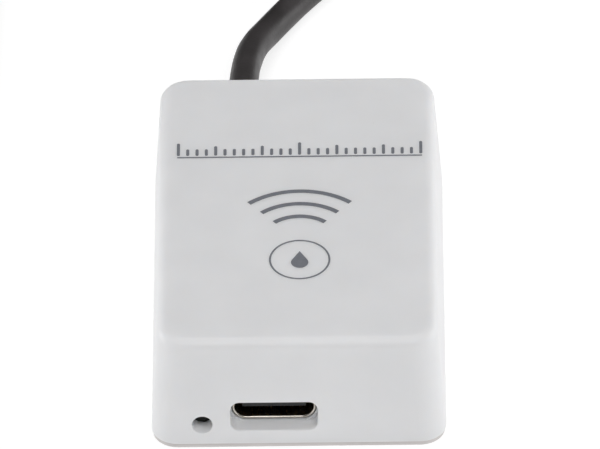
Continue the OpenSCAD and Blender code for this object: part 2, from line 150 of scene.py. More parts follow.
def surface(name, shade, tint, patch_mm, gloss, grain_mm, grain_deep_mm,
            worn=None, worn_mm=0.15, metal=0.0, specular=0.5, specks=None):
    """A moulded, drawn or plated finish: two close shades in soft patches, a roughness
    that wanders between two values, a fine grain, and edges rubbed to the worn shade."""
    paint = bpy.data.materials.new(name)
    paint.use_nodes = True
    nodes, links = paint.node_tree.nodes, paint.node_tree.links
    shader = nodes["Principled BSDF"]
    shader.inputs["Metallic"].default_value = metal
    shader.inputs["Specular IOR Level"].default_value = specular
    place = nodes.new("ShaderNodeTexCoord").outputs["Object"]
    patches = noise(nodes, links, place, patch_mm)
    colour = blended(nodes, links, spread(nodes, links, patches, low=0, high=1), shade, tint)
    if specks:
        dots = nodes.new("ShaderNodeTexVoronoi")
        dots.inputs["Scale"].default_value = 1 / (specks["apart_mm"] * MM)
        links.new(place, dots.inputs["Vector"])
        rim = specks["size_mm"] / specks["apart_mm"]
        near = spread(nodes, links, dots.outputs["Distance"], low=1, high=0,
                      start=rim * 0.6, end=rim)
        colour = blended(nodes, links, near, colour, specks["shade"])
    if worn:
        rounded = nodes.new("ShaderNodeBevel")
        rounded.samples = 4
        rounded.inputs["Radius"].default_value = worn_mm * MM
        facing = nodes.new("ShaderNodeVectorMath")
        facing.operation = "DOT_PRODUCT"
        links.new(rounded.outputs["Normal"], facing.inputs[0])
        links.new(nodes.new("ShaderNodeNewGeometry").outputs["Normal"], facing.inputs[1])
        edge = spread(nodes, links, facing.outputs["Value"], low=1, high=0,
                      start=0.75, end=0.995)
        rub = nodes.new("ShaderNodeMath")
        rub.operation = "MULTIPLY"
        links.new(edge, rub.inputs[0])
        uneven = noise(nodes, links, place, patch_mm / 4)
        links.new(spread(nodes, links, uneven, low=0.35, high=1), rub.inputs[1])
        colour = blended(nodes, links, rub.outputs["Value"], colour, worn)
    links.new(colour, shader.inputs["Base Color"])
    smudge = noise(nodes, links, place, patch_mm / 2, detail=5)
    links.new(spread(nodes, links, smudge, *gloss), shader.inputs["Roughness"])
    grain = nodes.new("ShaderNodeBump")
    grain.inputs["Distance"].default_value = grain_deep_mm * MM
    links.new(noise(nodes, links, place, grain_mm, detail=2), grain.inputs["Height"])
    links.new(grain.outputs["Normal"], shader.inputs["Normal"])
    return paint


def link(name, data):
    """A new piece with this mesh or curve, at the origin."""
    piece = bpy.data.objects.new(name, data)
    bpy.context.scene.collection.objects.link(piece)
    return piece


lead_points = lead_route + wound_turns() + tail_route
lead_curve = bpy.data.curves.new("sensor_lead_jacket", "CURVE")
lead_curve.dimensions = "3D"
lead_curve.bevel_depth = LEAD_WIDTH / 2
lead_curve.bevel_resolution = 6
lead_curve.resolution_u = 4
lead_curve.use_fill_caps = True
lead_spline = lead_curve.splines.new("BEZIER")
lead_spline.bezier_points.add(len(lead_points) - 1)
for knot, point in zip(lead_spline.bezier_points, lead_points):
    knot.co = Vector(point) * MM
    knot.handle_left_type = knot.handle_right_type = "AUTO"
sensor_lead = link("sensor_lead_jacket", lead_curve)
lead_curve.materials.append(surface(
    "matt_pvc", shade=(0.029, 0.026, 0.026), tint=(0.042, 0.037, 0.038), patch_mm=5,
    gloss=(0.42, 0.56), grain_mm=0.35, grain_deep_mm=0.02))
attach(sensor_lead, "housing")
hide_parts("sensor_lead", "cable_coil", "lead_tail")


# ---------------------------------------------------------------- cable grommet
# One moulded rubber piece, snapped into the hole in the back wall: a flange inside, a
# neck through the wall, a collar against it, and a snout that tapers along the lead.
LEAD_RADIUS = 1.6
SAME_PLACE = 0.0005
outlet = Vector((-6, 0, 6.6))


def turned(form, profile, middle, steps=48):
    """A profile of (distance from the axis, place along Y), spun round that axis."""
    knots = [form.verts.new(middle + Vector((radius, along, 0))) for radius, along in profile]
    edges = [form.edges.new(pair) for pair in zip(knots, knots[1:])]
    bmesh.ops.spin(form, geom=knots + edges, cent=middle, axis=(0, 1, 0),
                   angle=math.tau, steps=steps, use_merge=True, use_duplicate=False)
    bmesh.ops.remove_doubles(form, verts=form.verts, dist=SAME_PLACE)


def quarter(middle, radius, start, end, steps=5):
    """Points on an arc, as (distance from the axis, place along Y)."""
    angles = [math.radians(start + (end - start) * step / steps) for step in range(steps + 1)]
    return [(middle[0] + radius * math.cos(angle), middle[1] + radius * math.sin(angle))
            for angle in angles]


def made(name, form, paint, sharp=35):
    """The finished piece from a shape drawn in millimetres, riding on the housing."""
    bmesh.ops.recalc_face_normals(form, faces=form.faces)
    bmesh.ops.scale(form, vec=(MM, MM, MM), verts=form.verts)
    mesh = bpy.data.meshes.new(name)
    form.to_mesh(mesh)
    form.free()
    mesh.shade_smooth()
    mesh.set_sharp_from_angle(angle=math.radians(sharp))
    mesh.materials.append(paint)
    piece = link(name, mesh)
    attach(piece, "housing")
    return piece


soft_rubber = surface(
    "soft_rubber", shade=(0.018, 0.018, 0.019), tint=(0.030, 0.029, 0.029), patch_mm=2.5,
    gloss=(0.55, 0.72), grain_mm=0.12, grain_deep_mm=0.012, worn=(0.06, 0.058, 0.057))
LEAD_BORE = LEAD_RADIUS + 0.04
NECK_RADIUS = 3.0
FLANGE_RADIUS, FLANGE_FRONT = 3.5, 19.8
COLLAR_RADIUS, COLLAR_FRONT = 3.8, 23.17
SNOUT_END = 26.45
grommet_flange = [
    (LEAD_BORE, FLANGE_FRONT), (FLANGE_RADIUS, FLANGE_FRONT),
    *quarter((FLANGE_RADIUS, 20.0), 0.2, -90, 0), *quarter((FLANGE_RADIUS, 20.7), 0.2, 0, 90),
    (NECK_RADIUS, 20.9)]
grommet_collar = [
    (NECK_RADIUS, COLLAR_FRONT), (COLLAR_RADIUS, COLLAR_FRONT),
    *quarter((COLLAR_RADIUS, 23.47), 0.3, -90, 0), *quarter((3.7, 23.67), 0.4, 0, 90)]
grommet_snout = [
    (3.15, 24.07), *quarter((3.15, 24.37), 0.3, 270, 186), (2.72, 25.2), (2.62, 25.3),
    (2.62, 25.6), (2.66, 25.7), *quarter((2.12, 26.13), 0.32, 10, 90),
    (LEAD_BORE + 0.15, SNOUT_END), (LEAD_BORE, SNOUT_END - 0.15), (LEAD_BORE, FLANGE_FRONT)]
grommet_form = bmesh.new()
turned(grommet_form, grommet_flange + grommet_collar + grommet_snout, outlet)
grommet = made("grommet", grommet_form, soft_rubber)
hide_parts("cable_grommet")


# ---------------------------------------------------------------- coil tie
# Flat plastic tie with a wire in it, passed once round the bundle of turns. Its two ends
# are twisted together on top, and the twist lies across the turns.
tie_low, tie_high = (Vector(corner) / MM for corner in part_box("coil_tie"))
tie_plastic = surface(
    "tie_plastic", shade=(0.035, 0.036, 0.038), tint=(0.055, 0.055, 0.057), patch_mm=3,
    gloss=(0.30, 0.42), grain_mm=0.3, grain_deep_mm=0.015, worn=(0.10, 0.10, 0.10), worn_mm=0.08)
STRIP_THICK = 0.3
STRIP_WIDE = tie_high.y - tie_low.y
LOOP_CORNER = 1.7
OFF_TABLE = 0.02
BUNDLE_TOP = 6.45
tie_form = bmesh.new()
loop_side = bmesh.ops.create_grid(tie_form, x_segments=1, y_segments=1, size=0.5)["verts"]
bmesh.ops.scale(tie_form, verts=loop_side,
                vec=(tie_high.x - tie_low.x, BUNDLE_TOP + STRIP_THICK, 1))
bmesh.ops.bevel(tie_form, geom=loop_side, offset=LOOP_CORNER, segments=8, profile=0.5,
                affect="VERTICES", material=-1)
bmesh.ops.rotate(tie_form, cent=(0, 0, 0), matrix=Matrix.Rotation(math.pi / 2, 3, "X"),
                 verts=tie_form.verts)
bmesh.ops.translate(tie_form, verts=tie_form.verts, vec=(
    (tie_low.x + tie_high.x) / 2, tie_low.y, (BUNDLE_TOP + STRIP_THICK) / 2 + OFF_TABLE))
rim = list(tie_form.edges)
bmesh.ops.delete(tie_form, geom=list(tie_form.faces), context="FACES_ONLY")
far_rim = bmesh.ops.extrude_edge_only(tie_form, edges=rim)["geom"]
bmesh.ops.translate(tie_form, vec=(0, STRIP_WIDE, 0),
                    verts=[part for part in far_rim if isinstance(part, bmesh.types.BMVert)])
bmesh.ops.recalc_face_normals(tie_form, faces=tie_form.faces)
bmesh.ops.solidify(tie_form, geom=list(tie_form.faces), thickness=STRIP_THICK)
TWIST_LONG = 11.0
TWIST_ANGLE = 3.5 * math.pi
STRAND_WIDE = 1.5
STRAND_OFF_AXIS = 0.17
twist_middle = Vector((tie_high.x - 5.9, tie_low.y + STRIP_WIDE / 2, BUNDLE_TOP + 1.15))
for side in (-1, 1):
    strand = bmesh.ops.create_cube(tie_form, size=1)["verts"]
    bmesh.ops.scale(tie_form, vec=(TWIST_LONG, STRAND_WIDE, STRIP_THICK), verts=strand)
    lengthwise = {edge for knot in strand for edge in knot.link_edges
                  if abs(edge.verts[0].co.x - edge.verts[1].co.x) > 1}
    bmesh.ops.subdivide_edges(tie_form, edges=list(lengthwise), cuts=40)
    strand = [knot for knot in tie_form.verts if abs(knot.co.z) < STRIP_THICK
              and abs(knot.co.y) < 1 and abs(knot.co.x) < TWIST_LONG]
    for knot in strand:
        turn = Matrix.Rotation(knot.co.x / TWIST_LONG * TWIST_ANGLE, 3, "X")
        knot.co = turn @ (knot.co + Vector((0, 0, side * STRAND_OFF_AXIS))) + twist_middle
coil_tie = made("twist_tie", tie_form, tie_plastic)
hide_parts("coil_tie")


# ---------------------------------------------------------------- probe
# Moulded probe: a soft ribbed boot on the lead, a plain round barrel, and a slotted cap
# over the white porous filter that keeps dust off the humidity chip on its small board.
PROBE_RADIUS = 5.5
probe_axis = Vector((-39.2, 0, 5.5))
barrel_low, barrel_high = (Vector(corner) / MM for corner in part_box("probe_body"))
barrel_front, barrel_back = barrel_low.y, barrel_high.y
tip = (Vector(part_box("probe_cap")[0]) / MM).y
hard_plastic = surface(
    "probe_plastic", shade=(0.020, 0.020, 0.021), tint=(0.031, 0.031, 0.032), patch_mm=4,
    gloss=(0.34, 0.46), grain_mm=0.16, grain_deep_mm=0.010, worn=(0.075, 0.075, 0.078))

boot_form = bmesh.new()
BOOT_BACK, BOOT_FRONT, BOOT_CORE = 81.9, 70.02, 1.1
RIB_COUNT, RIB_APART, RIB_GROWS = 3, 3, 0.5
boot_profile = [(LEAD_BORE, 81.2), (LEAD_BORE, BOOT_BACK - 0.1), (LEAD_RADIUS + 0.2, BOOT_BACK),
                (2.15, BOOT_BACK), *quarter((2.15, BOOT_BACK - 0.25), 0.25, 90, 10)]
for rib in range(RIB_COUNT):
    rib_back = 81.0 - RIB_APART * rib
    rib_reach = 2.62 + RIB_GROWS * rib
    boot_profile += [(rib_reach - 0.22, rib_back + 0.5),
                     *quarter((rib_reach, rib_back), 0.14, 90, 0, 3),
                     (rib_reach + 0.42, rib_back - 1.55),
                     *quarter((rib_reach + 0.28, rib_back - 1.7), 0.16, 0, -90, 3),
                     (rib_reach - 0.12, rib_back - 2.0), (rib_reach - 0.08, rib_back - 2.35)]
boot_profile += [(4.15, 73.1), *quarter((4.0, 72.9), 0.25, 60, 0, 3), (4.4, BOOT_FRONT),
                 (BOOT_CORE, BOOT_FRONT), (BOOT_CORE, 81.2), (LEAD_BORE, 81.2)]
turned(boot_form, boot_profile, probe_axis)
probe_boot = made("ribbed_boot", boot_form, soft_rubber)
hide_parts("probe_boot")

barrel_form = bmesh.new()
EDGE = 0.35
SMALL_EDGE = 0.12
CABLE_HOLE = 1.6
BARREL_BORE, BARREL_END_WALL = 4.6, 0.9
GROOVE_DEEP = 0.22
turned(barrel_form, [
    (CABLE_HOLE, barrel_back), *quarter((PROBE_RADIUS - EDGE, barrel_back - EDGE), EDGE, 90, 0),
    (PROBE_RADIUS, barrel_back - 3.0), (PROBE_RADIUS - GROOVE_DEEP, barrel_back - 3.15),
    (PROBE_RADIUS - GROOVE_DEEP, barrel_back - 3.55), (PROBE_RADIUS, barrel_back - 3.7),
    *quarter((PROBE_RADIUS - SMALL_EDGE, barrel_front + SMALL_EDGE), SMALL_EDGE, 0, -90, 3),
    (BARREL_BORE, barrel_front), (BARREL_BORE, barrel_back - BARREL_END_WALL),
    (CABLE_HOLE, barrel_back - BARREL_END_WALL), (CABLE_HOLE, barrel_back)], probe_axis, steps=96)
barrel = made("probe_barrel", barrel_form, hard_plastic)
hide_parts("probe_body")


def lofted(form, rings, half_flat=0.0, half_high=0.0, steps=32, hollow=False):
    """A round bar, or one with flats between its corners: each ring is (radius, place along
    the bar). A hollow one goes forward along its outside and back along its inside."""
    loops = []
    for number, (radius, along) in enumerate(rings):
        ends = not hollow and number in (0, len(rings) - 1)
        ring = bmesh.ops.create_circle(form, cap_ends=ends, radius=radius, segments=steps,
                                       matrix=Matrix.Rotation(math.pi / steps, 4, "Z"))["verts"]
        for knot in ring:
            knot.co += Vector((math.copysign(half_flat, knot.co.x),
                               math.copysign(half_high, knot.co.y), along))
        loops.append(list({edge for knot in ring for edge in knot.link_edges}))
    for near, far in zip(loops, loops[1:] + loops[:1] if hollow else loops[1:]):
        bmesh.ops.bridge_loops(form, edges=near + far)
    bmesh.ops.recalc_face_normals(form, faces=form.faces)


def eased_mouth(radius, lip, outside, inside, steps=5):
    """Rings for a hole whose mouth is rounded over by the lip, from outside to inside. The
    first few degrees of the rounding are left off, so that it meets the face at an angle."""
    skipped = 15
    rings = [(radius + lip * 0.75, -outside)]
    for step in range(1, steps + 1):
        angle = math.radians(skipped + (90 - skipped) * step / steps)
        rings.append((radius + lip * (1 - math.sin(angle)), lip * (1 - math.cos(angle))))
    return rings + [(radius, inside)]


def carved(form, cutters, name, operation="DIFFERENCE"):
    """The shape with these others cut out of it, or joined on."""
    work = link(name + "_work", bpy.data.meshes.new(name + "_work"))
    form.to_mesh(work.data)
    form.free()
    tools = []
    for number, cutter in enumerate(cutters):
        tool = link(f"{name}_tool_{number}", bpy.data.meshes.new(f"{name}_tool_{number}"))
        cutter.to_mesh(tool.data)
        cutter.free()
        cut = work.modifiers.new("cut", "BOOLEAN")
        cut.object, cut.operation, cut.solver = tool, operation, "EXACT"
        tools.append(tool)
    bpy.context.view_layer.update()
    seen = work.evaluated_get(bpy.context.evaluated_depsgraph_get())
    result = bmesh.new()
    result.from_mesh(seen.to_mesh())
    seen.to_mesh_clear()
    for spare in [work, *tools]:
        spare_mesh = spare.data
        bpy.data.objects.remove(spare)
        bpy.data.meshes.remove(spare_mesh)
    bmesh.ops.remove_doubles(result, verts=result.verts, dist=SAME_PLACE)
    bmesh.ops.dissolve_degenerate(result, edges=result.edges, dist=SAME_PLACE)
    return result


cap_form = bmesh.new()
NOSE = 1.6
CAP_END_WALL = 1.2
CAP_BORE = 3.7
SPIGOT_RADIUS, SPIGOT_LONG = 4.55, 2.5
cap_back = barrel_front - 0.02
turned(cap_form, [
    (0, tip), *quarter((PROBE_RADIUS - NOSE, tip + NOSE), NOSE, -90, 0, 8),
    *quarter((PROBE_RADIUS - SMALL_EDGE, cap_back - SMALL_EDGE), SMALL_EDGE, 0, 90, 3),
    (SPIGOT_RADIUS, cap_back), (SPIGOT_RADIUS, barrel_front + SPIGOT_LONG),
    (CAP_BORE, barrel_front + SPIGOT_LONG), (CAP_BORE, tip + CAP_END_WALL),
    (0, tip + CAP_END_WALL)], probe_axis, steps=120)
SLOT_COUNT = 10
SLOT_WIDE = 1.3
SLOT_LONG = 10.5
SLOT_LIP = 0.14
slot_middle = tip + 3.2 + SLOT_LONG / 2
slot_tools = []
for number in range(SLOT_COUNT):
    slot_tool = bmesh.new()
    lofted(slot_tool, eased_mouth(SLOT_WIDE / 2, SLOT_LIP, 1.2, 3.0),
           half_flat=(SLOT_LONG - SLOT_WIDE) / 2, steps=24)
    round_axis = Matrix.Rotation(math.tau * number / SLOT_COUNT, 4, "Y")
    placed = (Matrix.Translation(probe_axis) @ round_axis
              @ Matrix.Translation((0, slot_middle, PROBE_RADIUS))
              @ Matrix.Rotation(math.pi, 4, "X") @ Matrix.Rotation(math.pi / 2, 4, "Z"))
    bmesh.ops.transform(slot_tool, matrix=placed, verts=slot_tool.verts)
    slot_tools.append(slot_tool)
cap_form = carved(cap_form, slot_tools, "slotted_cap")
slotted_cap = made("slotted_cap", cap_form, hard_plastic)
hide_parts("probe_cap")


def painted(paint, *nodes):
    """Gives the frame's own pieces this finish."""
    for node in nodes:
        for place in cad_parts[node].material_slots:
            place.material = paint


painted(surface(
    "porous_filter", shade=(0.60, 0.59, 0.56), tint=(0.74, 0.73, 0.70), patch_mm=0.5,
    gloss=(0.8, 0.95), grain_mm=0.15, grain_deep_mm=0.05), "probe_filter")
glass_board = surface(
    "masked_board", shade=(0.010, 0.012, 0.011), tint=(0.020, 0.023, 0.021), patch_mm=1.1,
    gloss=(0.26, 0.38), grain_mm=0.25, grain_deep_mm=0.008, worn=(0.12, 0.10, 0.06), worn_mm=0.06)
painted(glass_board, "probe_board")
chip_resin = surface(
    "chip_resin", shade=(0.018, 0.018, 0.020), tint=(0.030, 0.030, 0.032), patch_mm=0.8,
    gloss=(0.42, 0.55), grain_mm=0.06, grain_deep_mm=0.006, worn=(0.07, 0.07, 0.07), worn_mm=0.05)
painted(chip_resin, "sensor_chip")
fired_ceramic = surface(
    "fired_ceramic", shade=(0.36, 0.25, 0.15), tint=(0.46, 0.34, 0.22), patch_mm=0.6,
    gloss=(0.35, 0.5), grain_mm=0.05, grain_deep_mm=0.004, worn=(0.55, 0.45, 0.32), worn_mm=0.04)
painted(fired_ceramic, "probe_capacitor")


# ---------------------------------------------------------------- top shell
# One injection moulding in white ABS, drafted so that it leaves the tool upwards, with a
# fine satin texture. The socket's opening and the reset hole come from side cores.
shell_low, shell_high = (Vector(corner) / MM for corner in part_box("top_shell"))
usb_low, usb_high = (Vector(corner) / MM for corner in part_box("usb_shell"))
plunger_low, plunger_high = (Vector(corner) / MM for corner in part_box("reset_plunger"))
LEAN = math.tan(math.radians(3.8))
WALL = 1.5
ROOF = 1.6
CORNER = 2.8
TOP_CORNER = 3.0
TOP_EDGE = 1.2
INSIDE_EDGE = 0.35
# A bevel's width as a share of its radius, on an edge where one face leans by that much.
EDGE_SHARE = 0.936
INK_THICK = 0.012
face_height = shell_high.z - INK_THICK
rim_size = Vector((shell_high.x - shell_low.x, shell_high.y - shell_low.y, shell_low.z))


def drafted_cup(form, inset, top_height, corners, edge):
    """Side walls and roof of a box that narrows upwards, open below. The two corner radii
    are the rim's and the roof's."""
    loops = []
    for height, corner in zip((rim_size.z, top_height), corners):
        shrink = inset + (height - rim_size.z) * LEAN
        outline = bmesh.ops.create_grid(form, x_segments=1, y_segments=1, size=0.5)["verts"]
        bmesh.ops.scale(form, verts=outline,
                        vec=(rim_size.x - 2 * shrink, rim_size.y - 2 * shrink, 1))
        bmesh.ops.translate(form, vec=(0, 0, height), verts=outline)
        bmesh.ops.bevel(form, geom=outline, offset=corner, segments=12, profile=0.5,
                        affect="VERTICES", material=-1)
        face = next(f for f in form.faces if len(f.verts) > 8
                    and abs(f.calc_center_median().z - height) < SAME_PLACE)
        loops.append((list(face.edges), face))
    (rim_edges, rim_face), (top_edges, _) = loops
    bmesh.ops.delete(form, geom=[rim_face], context="FACES_ONLY")
    bmesh.ops.bridge_loops(form, edges=rim_edges + top_edges)
    bmesh.ops.bevel(form, geom=top_edges, offset=edge * EDGE_SHARE, offset_type="OFFSET",
                    segments=8, profile=0.5, affect="EDGES", clamp_overlap=True, material=-1)


shell_form = bmesh.new()
drafted_cup(shell_form, 0, face_height, (CORNER, TOP_CORNER), TOP_EDGE)
inner_cup = bmesh.new()
drafted_cup(inner_cup, WALL, face_height - ROOF, (CORNER - WALL + 0.2, TOP_CORNER - WALL),
            INSIDE_EDGE)
inner_mesh = bpy.data.meshes.new("inner_cup")
for knot in inner_cup.verts:
    if knot.is_boundary:
        knot.co.z -= rim_size.z + WALL
inner_cup.to_mesh(inner_mesh)
inner_cup.free()
shell_form.from_mesh(inner_mesh)
bpy.data.meshes.remove(inner_mesh)
open_edges = [edge for edge in shell_form.edges if edge.is_boundary]
bmesh.ops.bridge_loops(shell_form, edges=open_edges)
for knot in shell_form.verts:
    knot.co.z = max(knot.co.z, rim_size.z)
bmesh.ops.recalc_face_normals(shell_form, faces=shell_form.faces)

# Swaps up and back: a bar drawn upwards then lies along Y, and points into the case.
LAID_BACK = Matrix(((1, 0, 0, 0), (0, 0, 1, 0), (0, 1, 0, 0), (0, 0, 0, 1)))


def front_hole(middle_x, middle_z, radius, lip, depth,
               half_flat=0.0, half_high=0.0, squeeze=0.0):
    """A tool for a hole into the front wall, its mouth eased along the wall's slope. It
    loses this share of its height on the way in."""
    tool = bmesh.new()
    lofted(tool, eased_mouth(radius, lip, 1.5, depth),
           half_flat=half_flat, half_high=half_high, steps=48)
    for knot in tool.verts:
        knot.co.y *= 1 - squeeze * eased(0, WALL, knot.co.z)
    bmesh.ops.transform(tool, matrix=LAID_BACK, verts=tool.verts)
    wall_y = shell_low.y + (middle_z - rim_size.z) * LEAN
    for knot in tool.verts:
        knot.co.y += knot.co.z * LEAN
    bmesh.ops.translate(tool, vec=(middle_x, wall_y, middle_z), verts=tool.verts)
    bmesh.ops.recalc_face_normals(tool, faces=tool.faces)
    return tool


def swung(rings, middle, **bar):
    """A bar of these rings that lies along Y, through this (x, z) place."""
    form = bmesh.new()
    lofted(form, rings, **bar)
    bmesh.ops.transform(form, matrix=Matrix.Translation((middle[0], 0, middle[1])) @ LAID_BACK,
                        verts=form.verts)
    bmesh.ops.recalc_face_normals(form, faces=form.faces)
    return form


PORT_WIDE, PORT_HIGH, PORT_CORNER, PORT_LIP = 9.2, 3.6, 1.0, 0.16
PORT_SQUEEZE = 0.085
PINHOLE, PINHOLE_LIP = 2.15, 0.10
SHELL_HIGH = 3.2
SHELL_PLAY = 0.04
usb_flat = (usb_high.x - usb_low.x - SHELL_HIGH) / 2
port_middle = ((usb_low.x + usb_high.x) / 2, usb_high.z - SHELL_HIGH / 2)
pinhole_middle = ((plunger_low.x + plunger_high.x) / 2, (plunger_low.z + plunger_high.z) / 2)
COLLAR_CORNER = 0.6
collar_back = usb_low.y + 0.15
collar_left, collar_right = pinhole_middle[0] - 2.2, port_middle[0] + PORT_WIDE / 2 + 1.0
SEAT_RADIUS = 4.5
LEAD_HOLE = 3.05
seat_face = shell_high.y - 0.05
POST_RADIUS, SCREW_RADIUS = 2.2, 1.0
POST_ASIDE, POST_ALONG = 11.2, (-13, 17.5)
SCREW_HOLE_TOP = 9.4
board_top = port_middle[1] - 1.63
added = [
    swung([(COLLAR_CORNER, shell_low.y + 1.0), (COLLAR_CORNER, collar_back)],
          ((collar_left + collar_right) / 2, port_middle[1]), steps=32,
          half_flat=(collar_right - collar_left) / 2 - COLLAR_CORNER, half_high=PORT_HIGH / 2),
    swung([(SEAT_RADIUS, shell_high.y - 1.5), (SEAT_RADIUS, seat_face - 0.15),
           (SEAT_RADIUS - 0.05, seat_face - 0.04), (SEAT_RADIUS - 0.16, seat_face)],
          (outlet.x, outlet.z), steps=96)]
screw_holes = []
for side in (-1, 1):
    for along in POST_ALONG:
        post, screw_hole = bmesh.new(), bmesh.new()
        lofted(post, [(POST_RADIUS - 0.15, board_top + 0.05), (POST_RADIUS, board_top + 0.2),
                      (POST_RADIUS + 0.15, face_height - ROOF / 2)], steps=48)
        lofted(screw_hole, [(SCREW_RADIUS + 0.2, board_top), (SCREW_RADIUS, board_top + 0.35),
                            (SCREW_RADIUS, SCREW_HOLE_TOP)], steps=32)
        for bar, bars in ((post, added), (screw_hole, screw_holes)):
            bmesh.ops.translate(bar, vec=(side * POST_ASIDE, along, 0), verts=bar.verts)
            bars.append(bar)
shell_form = carved(shell_form, added, "case_shell", operation="UNION")
shell_form = carved(shell_form, [
    front_hole(*port_middle, PORT_CORNER, PORT_LIP, WALL + 0.05, PORT_WIDE / 2 - PORT_CORNER,
               PORT_HIGH / 2 - PORT_CORNER, PORT_SQUEEZE),
    swung([(SHELL_HIGH / 2 + SHELL_PLAY, shell_low.y),
           (SHELL_HIGH / 2 + SHELL_PLAY, usb_low.y + 1)],
          port_middle, steps=64, half_flat=usb_flat),
    front_hole(*pinhole_middle, PINHOLE / 2, PINHOLE_LIP, WALL + 1.5),
    swung([(LEAD_HOLE, 20.0), (LEAD_HOLE, 25.0)], (outlet.x, outlet.z), steps=64),
    *screw_holes], "case_shell")
white_abs = surface(
    "satin_white_abs", shade=(0.835, 0.838, 0.850), tint=(0.865, 0.868, 0.880), patch_mm=7,
    gloss=(0.38, 0.47), grain_mm=0.16, grain_deep_mm=0.006, worn=(0.90, 0.90, 0.905), worn_mm=0.2,
    specular=0.55,
    specks={"apart_mm": 7.5, "size_mm": 0.13, "shade": (0.30, 0.28, 0.27)})
abs_shader = white_abs.node_tree.nodes["Principled BSDF"]
abs_shader.inputs["Subsurface Weight"].default_value = 0.6
abs_shader.inputs["Subsurface Radius"].default_value = (1.0, 0.95, 0.9)
abs_shader.inputs["Subsurface Scale"].default_value = 1.1 * MM
case_shell = made("case_shell", shell_form, white_abs, sharp=25)
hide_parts("top_shell")


# ---------------------------------------------------------------- printed marks
# Grey ink, pad printed on the top face: a plain graduated scale, three arcs that stand
# for the radio link, and a drop in a ring. There is no lettering.
marks_middle = Vector((0.25, 0, face_height))
grey_ink = surface(
    "grey_ink", shade=(0.170, 0.180, 0.205), tint=(0.205, 0.215, 0.240), patch_mm=0.6,
    gloss=(0.42, 0.55), grain_mm=0.08, grain_deep_mm=0.003, worn=(0.26, 0.27, 0.29), worn_mm=0.03)


def ink_bar(form, middle, length, stroke, turn):
    """A round-ended stroke of ink."""
    before = set(form.verts)
    lofted(form, [(stroke / 2, 0), (stroke / 2, INK_THICK)], (length - stroke) / 2, steps=12)
    fresh = [knot for knot in form.verts if knot not in before]
    bmesh.ops.transform(form, matrix=Matrix.Translation(middle) @ Matrix.Rotation(turn, 4, "Z"),
                        verts=fresh)


TICKS = 27
LONG_TICK_EVERY = 13
SCALE_LONG = 26.0
SCALE_FOOT = 8.45
TICK_FOOT = SCALE_FOOT + 0.28
LINE_STROKE, TICK_STROKE = 0.2, 0.34
scale_form = bmesh.new()
ink_bar(scale_form, marks_middle + Vector((0, SCALE_FOOT, 0)), SCALE_LONG + 0.3, LINE_STROKE, 0)
for number in range(TICKS):
    tick_long = {0: 2.1, 4: 1.6, 9: 1.6}.get(number % LONG_TICK_EVERY, 1.1)
    along = SCALE_LONG * (number / (TICKS - 1) - 0.5)
    ink_bar(scale_form, marks_middle + Vector((along, TICK_FOOT + tick_long / 2, 0)),
            tick_long, TICK_STROKE, math.pi / 2)
made("humidity_scale", scale_form, grey_ink)

ARC_RADII = (4.2, 6.3, 8.4)
ARC_MIDDLE = -5.8
ARC_HALF_ANGLE = math.radians(40)
ARC_STROKE = 0.56
arcs_form = bmesh.new()
for arc_radius in ARC_RADII:
    stub = bmesh.ops.create_grid(arcs_form, x_segments=1, y_segments=1, size=0.5)["verts"]
    bmesh.ops.scale(arcs_form, vec=(ARC_STROKE, INK_THICK, 1), verts=stub)
    hub = marks_middle + Vector((0, ARC_MIDDLE, INK_THICK / 2))
    first_end = Matrix.Rotation(math.pi / 2 - ARC_HALF_ANGLE, 4, "Z")
    bmesh.ops.transform(arcs_form, verts=stub, matrix=(
        Matrix.Translation(hub) @ first_end @ Matrix.Translation((arc_radius, 0, 0))
        @ Matrix.Rotation(math.pi / 2, 4, "X")))
    section = stub[0].link_faces[0]
    bmesh.ops.spin(arcs_form, geom=[section, *section.edges, *section.verts], cent=hub,
                   axis=(0, 0, 1), angle=2 * ARC_HALF_ANGLE, steps=24, use_duplicate=False)
made("wireless_arcs", arcs_form, grey_ink)

RING_RADIUS, RING_STROKE = 3.25, 0.2
ring_middle = marks_middle + Vector((0, -8.79, 0))
ring_form = bmesh.new()
turned(ring_form, [
    (RING_RADIUS, 0), (RING_RADIUS, INK_THICK), (RING_RADIUS - RING_STROKE, INK_THICK),
    (RING_RADIUS - RING_STROKE, 0), (RING_RADIUS, 0)], Vector(), steps=96)
bmesh.ops.transform(ring_form, verts=ring_form.verts, matrix=(
    Matrix.Translation(ring_middle) @ Matrix.Rotation(math.pi / 2, 4, "X")))
# The drop starts as a disc. Its upper part is drawn out to a point along straight sides.
DROP_RADIUS = 0.92
DROP_LOWERED = 0.45
DROP_STEPS = 36
SHOULDER = math.pi / 6
before = set(ring_form.verts)
bmesh.ops.create_circle(ring_form, cap_ends=True, radius=DROP_RADIUS, segments=DROP_STEPS)
drop = [knot for knot in ring_form.verts if knot not in before]
for knot in drop:
    rise = math.asin(max(-1, min(1, knot.co.y / DROP_RADIUS)))
    if rise > SHOULDER:
        side = math.copysign(1, knot.co.x)
        shoulder = Vector((side * DROP_RADIUS * math.cos(SHOULDER), DROP_RADIUS / 2, 0))
        point = Vector((0, 2 * DROP_RADIUS, 0))
        knot.co = shoulder.lerp(point, (rise - SHOULDER) / (math.pi / 2 - SHOULDER))
bmesh.ops.translate(ring_form, vec=ring_middle - Vector((0, DROP_LOWERED, 0)), verts=drop)
risen = bmesh.ops.extrude_face_region(ring_form, geom=[drop[0].link_faces[0]], use_keep_orig=True)
bmesh.ops.translate(ring_form, vec=(0, 0, INK_THICK),
                    verts=[part for part in risen["geom"] if isinstance(part, bmesh.types.BMVert)])
made("drop_in_ring", ring_form, grey_ink)


